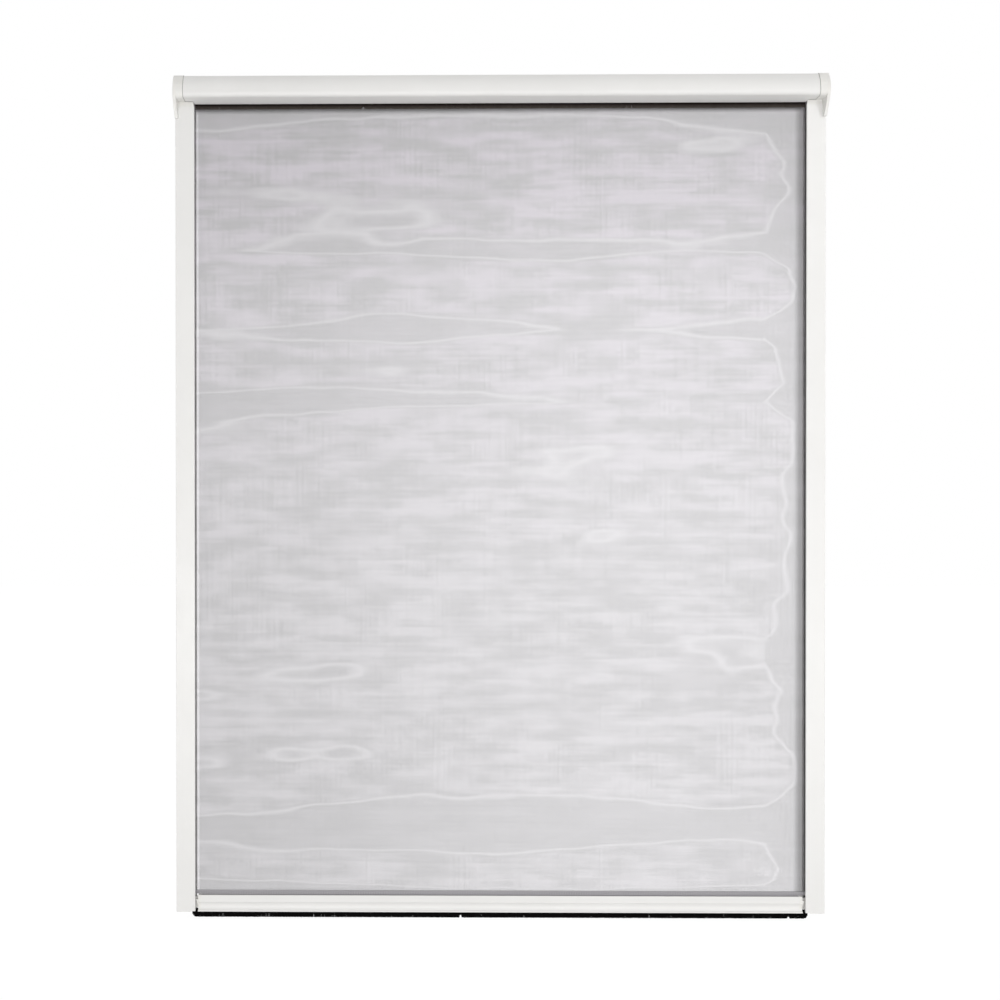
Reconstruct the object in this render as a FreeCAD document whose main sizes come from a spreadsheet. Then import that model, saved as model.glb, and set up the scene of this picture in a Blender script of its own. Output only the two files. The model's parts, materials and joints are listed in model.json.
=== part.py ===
"""Roller insect screen for a window, modelled at its real size in millimetres.

+X runs along the head box to the right, +Z is up and the front faces -Y.
Z is 0 at the sill, where the tips of the bottom brush touch it, and X and Y are 0 at the middle of the screen.
Depths called "back" are counted forwards from the plane of the wall, and heights called "low" upwards from the
underside of the head box.
"""
import FreeCAD, Part
import math
import os
import Sketcher
from FreeCAD import Placement, Rotation, Vector

PARTS = "parts"

doc = FreeCAD.newDocument("roller_insect_screen")
sheet = doc.addObject("Spreadsheet::Sheet", "Sizes")


class Size:
    """A length or angle that carries its number and the sheet formula that the number comes from."""

    def __init__(self, value, text):
        self.value = value
        self.text = text

    def __add__(self, other):
        other = size(other)
        return Size(self.value + other.value, f"({self.text} + {other.text})")

    def __radd__(self, other):
        return size(other) + self

    def __sub__(self, other):
        other = size(other)
        return Size(self.value - other.value, f"({self.text} - {other.text})")

    def __rsub__(self, other):
        return size(other) - self

    def __mul__(self, other):
        other = size(other)
        return Size(self.value * other.value, f"({self.text} * {other.text})")

    def __rmul__(self, other):
        return size(other) * self

    def __truediv__(self, other):
        other = size(other)
        return Size(self.value / other.value, f"({self.text} / {other.text})")

    def __neg__(self):
        return Size(-self.value, f"(0 - {self.text})")


def size(number):
    """The number itself if it is a Size already, and otherwise a plain Size of that number."""
    if isinstance(number, Size):
        return number
    return Size(float(number), f"{float(number):g}")


def root(length):
    return Size(math.sqrt(length.value), f"sqrt({length.text})")


def cosine(angle):
    return Size(math.cos(math.radians(angle.value)), f"cos({angle.text})")


def sine(angle):
    return Size(math.sin(math.radians(angle.value)), f"sin({angle.text})")


def tangent(angle):
    return Size(math.tan(math.radians(angle.value)), f"tan({angle.text})")


sheet_row = 0


def sheet_size(alias, number, meaning):
    """Writes one driving dimension into the sheet and returns it."""
    global sheet_row
    sheet_row += 1
    sheet.set(f"A{sheet_row}", meaning)
    sheet.set(f"B{sheet_row}", f"{number:g}")
    sheet.setAlias(f"B{sheet_row}", alias)
    return Size(float(number), f"Sizes.{alias}")


# Overall size, as the screen is ordered to fit a window
frame_width = sheet_size("frame_width", 1000, "over the end caps and guide rails")
rail_length = sheet_size("rail_length", 1243.5, "length of a guide rail")

# Clearances
fit_gap = sheet_size("fit_gap", 0.15, "between a plug and the profile that it fills")
run_gap = sheet_size("run_gap", 0.3, "between pieces that turn or slide past each other")
bearing_gap = sheet_size("bearing_gap", 0.075, "between a turning piece and its pin")
key_gap = sheet_size("key_gap", 0.05, "between a square end and its socket, and a sleeve and its spring")

# Head box profile
box_depth = sheet_size("box_depth", 46, "wall to the front of the head box")
box_height = sheet_size("box_height", 35, "underside to top of the head box")
box_wall = sheet_size("box_wall", 1.3, "wall of the head box profile")
bulge_radius = sheet_size("bulge_radius", 40, "radius of the bulged front")
bulge_height = sheet_size("bulge_height", 7.5, "height of the foremost line, and radius of the lower edge")
brow_radius = sheet_size("brow_radius", 2.5, "radius of the upper front edge")
foot_reach = sheet_size("foot_reach", 6.5, "inward flange at the back of the mouth")
lip_drop = sheet_size("lip_drop", 3.5, "height of the brush lip below the underside")
lip_back = sheet_size("lip_back", 12.6, "wall to the back face of the brush lip")
lip_depth = sheet_size("lip_depth", 7.4, "depth of the brush lip")
port_radius = sheet_size("port_radius", 2.9, "outside of a screw port")
port_bore = sheet_size("port_bore", 1.5, "radius of the hole in a screw port")
port_inset = sheet_size("port_inset", 4.1, "screw port to the outer corner of the profile")
port_slit = sheet_size("port_slit", 1.2, "slit along a screw port")
port_bite = sheet_size("port_bite", 0.5, "screw port sunk into the wall of the chin")

# Brush strips and the T slots that hold them
slot_width = sheet_size("slot_width", 5.2, "T slot, across its inside")
slot_mouth = sheet_size("slot_mouth", 3.0, "T slot, across its mouth")
slot_depth = sheet_size("slot_depth", 1.7, "T slot, depth of its inside")
slot_return = sheet_size("slot_return", 1.0, "wall beside the mouth of a T slot")
brush_back = sheet_size("brush_back", 1.4, "thickness of a brush strip's backing")
pile_width = sheet_size("pile_width", 2.6, "thickness of the pile")
rail_pile = sheet_size("rail_pile", 4.3, "pile that stands out of a guide rail's slot")
box_pile = sheet_size("box_pile", 8.0, "pile that hangs out of the head box lip")
sill_pile = sheet_size("sill_pile", 10.8, "pile that hangs out of the pull bar")
sill_brush_reach = sheet_size("sill_brush_reach", 7, "bottom brush, past the rail's inner edge")

# End cap
cap_width = sheet_size("cap_width", 16, "end cap outside the head box profile")
cheek_width = sheet_size("cheek_width", 4.7, "outer plate of an end cap")
cap_wall = sheet_size("cap_wall", 1.6, "wall of the end cap's collar")
cap_proud = sheet_size("cap_proud", 0.8, "end cap proud of the profile")
cheek_edge = sheet_size("cheek_edge", 0.9, "rounding of the outer plate's edge")
tail_drop = sheet_size("tail_drop", 27, "tail of the outer plate below the underside")
tail_slope = sheet_size("tail_slope", 33, "slope of the tail's front edge from upright, in degrees")
tail_round = sheet_size("tail_round", 20, "radius where the bulge turns into the tail")
spigot_reach = sheet_size("spigot_reach", 10, "tongue of the cap inside the head box")
spigot_wall = sheet_size("spigot_wall", 1.2, "thickness of the cap's tongues")
spigot_root = sheet_size("spigot_root", 1.8, "web that joins a tongue to the collar")
spigot_clear = sheet_size("spigot_clear", 4, "upper tongue behind the brow")
hub_radius = sheet_size("hub_radius", 6.5, "boss that holds the shaft")
hub_gap = sheet_size("hub_gap", 3, "boss to the end of the roller tube")
post_radius = sheet_size("post_radius", 3.6, "screw posts of an end cap")
rib_width = sheet_size("rib_width", 1.4, "ribs between the boss and the collar")
rib_length = sheet_size("rib_length", 6.8, "ribs, along the screen")
socket_depth = sheet_size("socket_depth", 8, "shaft socket in the boss")
screw_head = sheet_size("screw_head", 3.1, "radius of a cap screw's head")
screw_head_depth = sheet_size("screw_head_depth", 2.0, "height of a cap screw's head")
screw_shank = sheet_size("screw_shank", 1.45, "radius of a cap screw's shank")
screw_bite = sheet_size("screw_bite", 12, "cap screw inside its port")
head_sunk = sheet_size("head_sunk", 0.4, "cap screw's head below the outer plate's face")
recess_reach = sheet_size("recess_reach", 3.4, "cross recess in a cap screw's head")
recess_width = sheet_size("recess_width", 0.7, "arm of the cross recess")
recess_depth = sheet_size("recess_depth", 1.1, "depth of the cross recess")

# Guide rail profile
rail_width = sheet_size("rail_width", 29, "outer side to inner edge of a guide rail")
rail_depth = sheet_size("rail_depth", 22, "wall to the front face of a guide rail")
rail_wall = sheet_size("rail_wall", 1.2, "wall of a guide rail")
rail_edge = sheet_size("rail_edge", 0.8, "rounding of a guide rail's edges")
chamber_width = sheet_size("chamber_width", 8.6, "hollow chamber beside the guide channel")
lip_width = sheet_size("lip_width", 7.6, "thick lip beside the channel's mouth")
lip_nose = sheet_size("lip_nose", 1.1, "wall between the T slot and the lip's edge")
screw_bore = sheet_size("screw_bore", 2.25, "radius of a fixing hole in the rail's side")
access_bore = sheet_size("access_bore", 4.5, "radius of the driver's access hole in the web")
screw_low = sheet_size("screw_low", 150, "lower fixing hole above the rail's end")
screw_pitch = sheet_size("screw_pitch", 940, "distance between the fixing holes")

# Rail head and rail plug
head_height = sheet_size("head_height", 8, "rail head between rail and head box")
head_flange = sheet_size("head_flange", 1.6, "flange that covers the rail's cut end")
head_inset = sheet_size("head_inset", 0.7, "rail head's neck behind the flange's edge")
head_nose = sheet_size("head_nose", 0.9, "rail head's neck short of the rail's inner edge")
head_tongue = sheet_size("head_tongue", 30, "rail head's tongue inside the chamber")
tongue_wall = sheet_size("tongue_wall", 1.6, "wall of the rail head's and plug's tongues")
plug_tongue = sheet_size("plug_tongue", 24, "rail plug's tongue inside the chamber")
plug_shelf = sheet_size("plug_shelf", 3.2, "rail plug's shelf that the pull bar lands on")
foot_flange = sheet_size("foot_flange", 0.9, "rail plug's flange under the rail's cut end")

# Roller
tube_radius = sheet_size("tube_radius", 8, "outside of the roller tube")
tube_wall = sheet_size("tube_wall", 0.9, "wall of the roller tube")
tube_end_gap = sheet_size("tube_end_gap", 1.5, "end of the head box to the end of the tube")
winding_radius = sheet_size("winding_radius", 9, "turns left on the tube when the screen is down")
roller_drop = sheet_size("roller_drop", 16.5, "roller axis below the top of the head box")
shaft_radius = sheet_size("shaft_radius", 3, "fixed shaft inside the spring")
shaft_key = sheet_size("shaft_key", 2.1, "half the side of the square ends of shaft and pin")
spring_length = sheet_size("spring_length", 330, "close-wound spring, left down as far as it is wound")
spring_radius = sheet_size("spring_radius", 5.2, "outside of the spring")
spring_wire = sheet_size("spring_wire", 1.0, "spring wire")
anchor_length = sheet_size("anchor_length", 14, "collar that holds the spring's fixed end")
anchor_sleeve = sheet_size("anchor_sleeve", 8.4, "collar's sleeve inside the spring")
plug_length = sheet_size("plug_length", 22, "plug inside each end of the tube")
plug_flange = sheet_size("plug_flange", 1.0, "rim of a tube plug over the tube's end")
drive_length = sheet_size("drive_length", 20, "driver that the spring turns")
pin_radius = sheet_size("pin_radius", 2.5, "idler pin")
pin_reach = sheet_size("pin_reach", 16, "idler pin inside the tube plug")

# Insect mesh
mesh_back = sheet_size("mesh_back", 11, "wall to the middle of the mesh")
mesh_thick = sheet_size("mesh_thick", 0.3, "mesh")
mesh_inset = sheet_size("mesh_inset", 10, "mesh inside each guide rail, past the rail's inner edge")

# Pull bar
bar_height = sheet_size("bar_height", 25.3, "pull bar")
bar_back = sheet_size("bar_back", 4.2, "wall to the back of the pull bar")
bar_front = sheet_size("bar_front", 18, "wall to the upper front face of the pull bar")
bar_wall = sheet_size("bar_wall", 1.2, "wall of the pull bar")
front_rise = sheet_size("front_rise", 2.2, "front wall of the pull bar above the keder channel")
bar_gap = sheet_size("bar_gap", 4, "rail's inner edge to the end of the pull bar")
bar_lift = sheet_size("bar_lift", 1.3, "pull bar's underside below the rails' lower ends")
face_height = sheet_size("face_height", 10.6, "flat upper front of the pull bar")
grip_depth = sheet_size("grip_depth", 2.2, "hollow of the grip below the flat")
grip_lip = sheet_size("grip_lip", 2.8, "finger lip, thickness")
grip_reach = sheet_size("grip_reach", 2.6, "finger lip in front of the flat")
keder_bore = sheet_size("keder_bore", 2.3, "radius of the keder channel")
keder_mouth = sheet_size("keder_mouth", 2.4, "slit of the keder channel")
keder_radius = sheet_size("keder_radius", 2.0, "keder rod")
keder_flag = sheet_size("keder_flag", 5.9, "woven hem that shows above the pull bar")
keder_thick = sheet_size("keder_thick", 1.8, "woven hem")
end_width = sheet_size("end_width", 4.5, "end piece outside the pull bar profile")
end_tongue = sheet_size("end_tongue", 22, "end piece's tongue inside the pull bar")
fin_thick = sheet_size("fin_thick", 4.0, "fin that runs between the rail's brushes")
fin_height = sheet_size("fin_height", 17, "fin, from the pull bar's underside")
shoe_width = sheet_size("shoe_width", 6.5, "guide shoe behind the rail's lips")
shoe_depth = sheet_size("shoe_depth", 15, "guide shoe, front to back")
nose_height = sheet_size("nose_height", 9.5, "wedge that centres the bar between the rails")
nose_top = sheet_size("nose_top", 6.8, "wedge below the top of the pull bar")
bar_stop = sheet_size("bar_stop", 1.5, "raised pull bar to the head box's brush")

doc.recompute()

# Planes that more than one piece is placed from
half_width = frame_width / 2
back_plane = (box_depth + cap_proud) / 2
rail_edge_x = half_width - rail_width
box_end_x = half_width - cap_width
bar_end_x = rail_edge_x - bar_gap
rail_floor_z = sill_pile + bar_lift
rail_top_z = rail_floor_z + rail_length
box_floor_z = rail_top_z + head_height
box_top_z = box_floor_z + box_height
roller_back = mesh_back + mesh_thick / 2 + run_gap + winding_radius
roller_low = box_height - roller_drop
roller_y = back_plane - roller_back
roller_z = box_floor_z + roller_low
mesh_y = back_plane - mesh_back
tube_end_x = box_end_x - tube_end_gap
bar_top_z = sill_pile + bar_height
bar_travel = box_floor_z - lip_drop - box_pile - bar_stop - bar_top_z

X_AXIS = Vector(1, 0, 0)
Z_AXIS = Vector(0, 0, 1)

# A profile that runs along X is drawn in depth from the wall and height, and its length then runs towards -X.
# ACROSS_DOWN is the same for a brush strip whose pile hangs, and a profile along Z is UPRIGHT or half turned.
ACROSS = Rotation(Vector(0, -1, 0), Vector(0, 0, 1), Vector(-1, 0, 0), "ZXY")
ACROSS_DOWN = Rotation(Vector(0, 1, 0), Vector(0, 0, -1), Vector(-1, 0, 0), "ZXY")
UPRIGHT = Rotation()
HALF_TURN = Rotation(Z_AXIS, 180)


def bind(item, property_name, length):
    item.setExpression(property_name, length.text)


def new_body(name, turn, x, y, z):
    """An empty body of that name, turned and placed from the sheet."""
    body = doc.addObject("PartDesign::Body", name)
    body.Label = name
    body.Placement = Placement(Vector(x.value, y.value, z.value), turn)
    bind(body, ".Placement.Base.x", x)
    bind(body, ".Placement.Base.y", y)
    bind(body, ".Placement.Base.z", z)
    return body


def new_sketch(body, name, offset=size(0), plane="XY_Plane"):
    """A sketch on one of the body's own origin planes, moved along that plane's normal."""
    sketch = body.newObject("Sketcher::SketchObject", name)
    for feature in body.Origin.OriginFeatures:
        if feature.Role == plane:
            sketch.AttachmentSupport = [(feature, "")]
    sketch.MapMode = "FlatFace"
    bind(sketch, ".AttachmentOffset.Base.z", offset)
    return sketch


def turn_from(start, end, radius):
    """Centre of the short arc from start to end; a positive radius turns left and a negative one right."""
    mid = (start + end) * 0.5
    chord = end - start
    rise = math.sqrt(max(radius * radius - chord.Length ** 2 / 4, 0))
    left = Vector(-chord.y, chord.x, 0).normalize()
    return mid + left * math.copysign(rise, radius)


def outline(sketch, path):
    """Draws a closed outline. A pair is a corner, and a lone Size between two pairs makes an arc of that radius."""
    corners = []
    arcs = {}
    for step in path:
        if isinstance(step, Size):
            arcs[len(corners) - 1] = step
        else:
            corners.append((size(step[0]), size(step[1])))
    geometry = []
    starts = []
    count = len(corners)
    points = [Vector(x.value, y.value, 0) for x, y in corners]
    for index in range(count):
        start = points[index]
        end = points[(index + 1) % count]
        if index in arcs:
            radius = arcs[index].value
            centre = turn_from(start, end, radius)
            circle = Part.Circle(centre, Z_AXIS, abs(radius))
            begin, finish = (start, end) if radius > 0 else (end, start)
            first = math.atan2(begin.y - centre.y, begin.x - centre.x)
            last = math.atan2(finish.y - centre.y, finish.x - centre.x)
            if last < first:
                last += 2 * math.pi
            geometry.append(Part.ArcOfCircle(circle, first, last))
            starts.append((1, 2) if radius > 0 else (2, 1))
        else:
            geometry.append(Part.LineSegment(start, end))
            starts.append((1, 2))
    first_id = sketch.GeometryCount
    sketch.addGeometry(geometry, False)
    constraints = []
    formulas = []
    base = sketch.ConstraintCount
    for index in range(count):
        after = (index + 1) % count
        constraints.append(
            Sketcher.Constraint(
                "Coincident", first_id + index, starts[index][1], first_id + after, starts[after][0]
            )
        )
    for index, (x, y) in enumerate(corners):
        for kind, length in (("DistanceX", x), ("DistanceY", y)):
            formulas.append((base + len(constraints), length))
            constraints.append(
                Sketcher.Constraint(kind, -1, 1, first_id + index, starts[index][0], length.value)
            )
    for index, radius in arcs.items():
        formulas.append((base + len(constraints), radius if radius.value > 0 else -radius))
        constraints.append(Sketcher.Constraint("Radius", first_id + index, abs(radius.value)))
    sketch.addConstraint(constraints)
    for place, length in formulas:
        bind(sketch, f"Constraints[{place}]", length)


def box_outline(sketch, x_low, y_low, x_high, y_high):
    outline(sketch, [(x_low, y_low), (x_high, y_low), (x_high, y_high), (x_low, y_high)])


def circle(sketch, x, y, radius):
    """A full circle whose centre and radius follow the sheet."""
    number = sketch.addGeometry(
        Part.Circle(Vector(x.value, y.value, 0), Z_AXIS, radius.value), False
    )
    place = sketch.ConstraintCount
    sketch.addConstraint([
        Sketcher.Constraint("DistanceX", -1, 1, number, 3, x.value),
        Sketcher.Constraint("DistanceY", -1, 1, number, 3, y.value),
        Sketcher.Constraint("Radius", number, radius.value),
    ])
    bind(sketch, f"Constraints[{place}]", x)
    bind(sketch, f"Constraints[{place + 1}]", y)
    bind(sketch, f"Constraints[{place + 2}]", radius)


def pad(body, sketch, length, both_ways=False, reverse=False):
    feature = body.newObject("PartDesign::Pad", sketch.Name + "_pad")
    feature.Profile = sketch
    feature.Midplane = both_ways
    feature.Reversed = reverse
    bind(feature, "Length", length)
    return feature


def pocket(body, sketch, length, both_ways=False, reverse=False):
    feature = body.newObject("PartDesign::Pocket", sketch.Name + "_cut")
    feature.Profile = sketch
    feature.Midplane = both_ways
    feature.Reversed = reverse
    bind(feature, "Length", length)
    return feature


def mirrored(name, source):
    """The opposite-handed copy of a piece, on the other side of the screen."""
    copy = doc.addObject("Part::Mirroring", name)
    copy.Label = name
    copy.Source = source
    copy.Base = Vector(0, 0, 0)
    copy.Normal = X_AXIS
    return copy


def strip(name, turn, x, y, z, length, pile, both_ways):
    """Brush strip, drawn from the bottom of its T slot: a flat backing with a band of pile on it."""
    body = new_body(name, turn, x, y, z)
    sketch = new_sketch(body, name + "_section")
    half = slot_width / 2 - fit_gap
    band = pile_width / 2
    tip = slot_depth + slot_return + pile
    outline(sketch, [
        (-half, 0), (half, 0), (half, brush_back), (band, brush_back),
        (band, tip), (-band, tip), (-band, brush_back), (-half, brush_back),
    ])
    pad(body, sketch, length, both_ways)
    return body


def slot_path(middle, outer, sign):
    """Corners of a T slot in a lower edge at height outer, from low to high depth; sign is the way into it."""
    mouth = slot_mouth / 2
    wide = slot_width / 2
    near = outer + slot_return * sign
    deep = outer + (slot_return + slot_depth) * sign
    return [
        (middle - mouth, outer), (middle - mouth, near), (middle - wide, near), (middle - wide, deep),
        (middle + wide, deep), (middle + wide, near), (middle + mouth, near), (middle + mouth, outer),
    ]


# Head box profile: bulged front, flat back, open mouth below, and an apron down to a lip that holds a brush
bulge_x = box_depth - bulge_radius
brow_y = box_height - brow_radius
brow_x = bulge_x + root(
    (bulge_radius - brow_radius) * (bulge_radius - brow_radius)
    - (brow_y - bulge_height) * (brow_y - bulge_height)
)
chin_x = box_depth - bulge_height
lip_middle = lip_back + lip_depth / 2


def brow_point(radius):
    """Where the rounded upper edge meets the bulge, on a curve of that radius about the bulge's centre."""
    share = radius / (bulge_radius - brow_radius)
    return (bulge_x + (brow_x - bulge_x) * share, bulge_height + (brow_y - bulge_height) * share)


def box_front(grow):
    """Chin, bulge and brow of the head box, as steps of an outline, grown outwards by that much."""
    return [
        (chin_x, -grow), bulge_height + grow,
        (box_depth + grow, bulge_height), bulge_radius + grow,
        brow_point(bulge_radius + grow), brow_radius + grow,
        (brow_x, box_height + grow),
    ]


def port_centres():
    """Screw ports: two in the back corners and one inside the chin."""
    seat = (bulge_height - box_wall - port_radius + port_bite) * math.sqrt(0.5)
    return [
        (port_inset, box_height - port_inset),
        (port_inset, port_inset),
        (chin_x + seat, bulge_height - seat),
    ]


def make_head_box():
    body = new_body("head_box", ACROSS, size(0), back_plane, box_floor_z)
    section = new_sketch(body, "box_section")
    lip_front = lip_back + lip_depth
    inner = bulge_radius - box_wall
    path = box_front(size(0))
    path += [
        (0, box_height), (0, 0), (foot_reach, 0), (foot_reach, box_wall),
        (box_wall, box_wall), (box_wall, box_height - box_wall), (brow_x, box_height - box_wall),
        -(brow_radius - box_wall), brow_point(inner),
        -inner, (box_depth - box_wall, bulge_height),
        -(bulge_height - box_wall), (chin_x, box_wall),
        (lip_back, box_wall), (lip_back, -lip_drop),
    ]
    path += slot_path(lip_middle, -lip_drop, 1)
    path += [(lip_front, -lip_drop)]
    outline(section, path)
    pad(body, section, box_end_x * 2, both_ways=True)
    apron = new_sketch(body, "apron_hollow")
    apron_tip = lip_front + (chin_x - lip_front) * (lip_drop - box_wall) / lip_drop
    outline(apron, [(lip_front, 0), (lip_front, box_wall - lip_drop), (apron_tip, 0)])
    pocket(body, apron, box_end_x * 2, both_ways=True)
    rings = new_sketch(body, "port_rings")
    bores = new_sketch(body, "port_bores")
    slits = new_sketch(body, "port_slits")
    for x, y in port_centres():
        circle(rings, x, y, port_radius)
        circle(bores, x, y, port_bore)
        inside = x.value < roller_back.value
        mouth = x + (port_radius + 1) * (1 if inside else -1)
        low, high = (x, mouth) if inside else (mouth, x)
        box_outline(slits, low, y - port_slit / 2, high, y + port_slit / 2)
    pad(body, rings, box_end_x * 2, both_ways=True)
    pocket(body, bores, box_end_x * 2, both_ways=True)
    pocket(body, slits, box_end_x * 2, both_ways=True)
    for name, place, reverse in (("lip_end_left", box_end_x, False), ("lip_end_right", -box_end_x, True)):
        cut = new_sketch(body, name, place)
        box_outline(cut, lip_back - 1, -lip_drop - 1, chin_x, size(0))
        pocket(body, cut, box_end_x - rail_edge_x + run_gap, reverse=reverse)
    return body


# End cap: collar that continues the profile, outer plate with a tail over the rail, boss, ribs and tongues
def edge_names(feature, wanted):
    """Names of the edges of a feature whose middle point passes the test, in the body's own frame."""
    names = []
    for number, edge in enumerate(feature.Shape.Edges):
        if wanted(edge.CenterOfMass):
            names.append(f"Edge{number + 1}")
    return names


def make_end_cap():
    body = new_body("end_cap_left", ACROSS, -box_end_x, back_plane, box_floor_z)
    collar_length = cap_width - cheek_width
    inset = cap_wall - cap_proud
    rail_front = rail_depth + run_gap
    bend_x = box_depth + cap_proud - tail_round
    turn_x = bend_x + tail_round * cosine(tail_slope)
    turn_y = bulge_height - tail_round * sine(tail_slope)
    tip_x = turn_x - (turn_y + tail_drop) * tangent(tail_slope)
    cheek = new_sketch(body, "cheek_section", collar_length)
    outline(cheek, [
        (0, -cap_proud), (rail_front, -cap_proud), (rail_front, -tail_drop), (tip_x, -tail_drop),
        (turn_x, turn_y), tail_round, (box_depth + cap_proud, bulge_height),
        bulge_radius + cap_proud, brow_point(bulge_radius + cap_proud), brow_radius + cap_proud,
        (brow_x, box_height + cap_proud), (0, box_height + cap_proud),
    ])
    plate = pad(body, cheek, cheek_width)
    doc.recompute()
    outer_face = cap_width.value
    edges = edge_names(plate, lambda middle: abs(middle.z - outer_face) < 0.01
                       and middle.x > 0.1 and not middle.x - 0.1 < rail_front.value < middle.x + 0.1
                       and abs(middle.y + cap_proud.value) > 0.1)
    rounding = body.newObject("PartDesign::Fillet", "cheek_rounding")
    rounding.Base = (plate, edges)
    bind(rounding, "Radius", cheek_edge)
    collar = new_sketch(body, "collar_section")
    outline(collar, box_front(cap_proud) + [(0, box_height + cap_proud), (0, -cap_proud)])
    outline(collar, [
        (chin_x, inset), bulge_height - inset, (box_depth - inset, bulge_height),
        bulge_radius - inset, brow_point(bulge_radius - inset), brow_radius - inset,
        (brow_x, box_height - inset), (cap_wall, box_height - inset), (cap_wall, inset),
    ])
    pad(body, collar, collar_length)
    boss = new_sketch(body, "hub_section", collar_length)
    circle(boss, roller_back, roller_low, hub_radius)
    pad(body, boss, collar_length + tube_end_gap - hub_gap, reverse=True)
    posts = new_sketch(body, "post_section", collar_length)
    for x, y in port_centres():
        circle(posts, x, y, post_radius)
    pad(body, posts, collar_length, reverse=True)
    ribs = new_sketch(body, "rib_section", collar_length)
    half = rib_width / 2
    core = hub_radius - 1
    box_outline(ribs, cap_wall / 2, roller_low - half, roller_back - core, roller_low + half)
    box_outline(ribs, roller_back - half, roller_low + core, roller_back + half, box_height - inset / 2)
    box_outline(ribs, roller_back - half, inset / 2, roller_back + half, roller_low - core)
    box_outline(ribs, roller_back + core, roller_low - half, box_depth - inset / 2, roller_low + half)
    pad(body, ribs, rib_length, reverse=True)
    top = box_height - box_wall - fit_gap
    rear = box_wall + fit_gap
    clear = port_inset + port_radius + 1
    tongues = new_sketch(body, "tongue_section")
    box_outline(tongues, clear, top - spigot_wall, brow_x - spigot_clear, top)
    box_outline(tongues, rear, clear, rear + spigot_wall, box_height - clear)
    pad(body, tongues, spigot_reach, reverse=True)
    roots = new_sketch(body, "tongue_roots")
    box_outline(roots, clear, top - spigot_wall, brow_x - spigot_clear, box_height)
    box_outline(roots, cap_wall / 2, clear, rear + spigot_wall, box_height - clear)
    pad(body, roots, spigot_root)
    holes = new_sketch(body, "screw_holes", cap_width)
    heads = new_sketch(body, "head_holes", cap_width)
    for x, y in port_centres():
        circle(holes, x, y, screw_shank + fit_gap)
        circle(heads, x, y, screw_head + fit_gap)
    pocket(body, holes, cap_width + 1)
    pocket(body, heads, screw_head_depth + head_sunk)
    socket = new_sketch(body, "shaft_socket", hub_gap - tube_end_gap)
    key = shaft_key + key_gap
    box_outline(socket, roller_back - key, roller_low - key, roller_back + key, roller_low + key)
    pocket(body, socket, socket_depth, reverse=True)
    return body



def make_cap_screws():
    """Pan-head screws that hold the end caps in the profile's ports, three at each end."""
    solids = []
    for side in (-1, 1):
        along = Vector(side, 0, 0)
        seat = half_width.value - head_sunk.value - screw_head_depth.value
        tip = box_end_x.value - screw_bite.value
        for x, y in port_centres():
            axis = Vector(0, back_plane.value - x.value, box_floor_z.value + y.value)
            shank = Part.makeCylinder(screw_shank.value, seat - tip, axis + along * tip, along)
            head = Part.makeCylinder(screw_head.value, screw_head_depth.value, axis + along * seat, along)
            top = seat + screw_head_depth.value
            rim = [edge for edge in head.Edges if edge.Closed and abs(abs(edge.CenterOfMass.x) - top) < 0.01]
            head = head.makeFillet(screw_head_depth.value * 0.4, rim)
            screw = head.fuse(shank).removeSplitter()
            depth = recess_depth.value
            start = top - depth if side > 0 else -top
            for wide, tall in ((recess_width, recess_reach), (recess_reach, recess_width)):
                corner = Vector(start, axis.y - wide.value / 2, axis.z - tall.value / 2)
                screw = screw.cut(Part.makeBox(depth, wide.value, tall.value, corner))
            solids.append(screw)
    group = doc.addObject("Part::Feature", "cap_screws")
    group.Label = "cap_screws"
    group.Shape = Part.makeCompound(solids)
    group.Placement = Placement()
    return group


# Guide rail profile: closed chamber outside, channel inside whose two lips hold brushes
def rail_section_path():
    far = rail_depth
    thick = rail_wall + slot_depth + slot_return
    deep = rail_wall + slot_depth
    slot_in = rail_width - lip_nose
    slot_out = slot_in - slot_width
    ledge = (slot_width - slot_mouth) / 2
    web = rail_wall + chamber_width + rail_wall
    lip_start = rail_width - lip_width
    edge = rail_edge
    front = [
        (edge, 0), (rail_width - edge, 0), edge, (rail_width, edge), (rail_width, thick),
        (slot_in - ledge, thick), (slot_in - ledge, deep), (slot_in, deep), (slot_in, rail_wall),
        (slot_out, rail_wall), (slot_out, deep), (slot_out + ledge, deep), (slot_out + ledge, thick),
        (lip_start, thick), (lip_start, rail_wall), (web, rail_wall),
    ]
    back = [
        (web, far - rail_wall), (lip_start, far - rail_wall), (lip_start, far - thick),
        (slot_out + ledge, far - thick), (slot_out + ledge, far - deep), (slot_out, far - deep),
        (slot_out, far - rail_wall), (slot_in, far - rail_wall), (slot_in, far - deep),
        (slot_in - ledge, far - deep), (slot_in - ledge, far - thick), (rail_width, far - thick),
        (rail_width, far - edge), edge, (rail_width - edge, far), (edge, far), edge,
        (0, far - edge), (0, edge), edge,
    ]
    return front + back


def make_guide_rail():
    body = new_body("guide_rail_left", UPRIGHT, -half_width, back_plane - rail_depth, rail_floor_z)
    section = new_sketch(body, "rail_section")
    outline(section, rail_section_path())
    box_outline(section, rail_wall, rail_wall, rail_wall + chamber_width, rail_depth - rail_wall)
    pad(body, section, rail_length)
    fixings = new_sketch(body, "fixing_holes", plane="YZ_Plane")
    access = new_sketch(body, "access_holes", rail_wall + chamber_width - 1, plane="YZ_Plane")
    for step in (0, 1):
        circle(fixings, rail_depth / 2, screw_low + screw_pitch * step, screw_bore)
        circle(access, rail_depth / 2, screw_low + screw_pitch * step, access_bore)
    pocket(body, fixings, rail_wall + 1, reverse=True)
    pocket(body, access, rail_wall + 2, reverse=True)
    return body


def rail_brush(name, turn, depth):
    """One pile strip in a lip of the left rail, with its backing on the floor of the T slot."""
    middle = -rail_edge_x - lip_nose - slot_width / 2
    return strip(name, turn, middle, back_plane - depth, rail_floor_z, rail_length, rail_pile, False)


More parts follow.
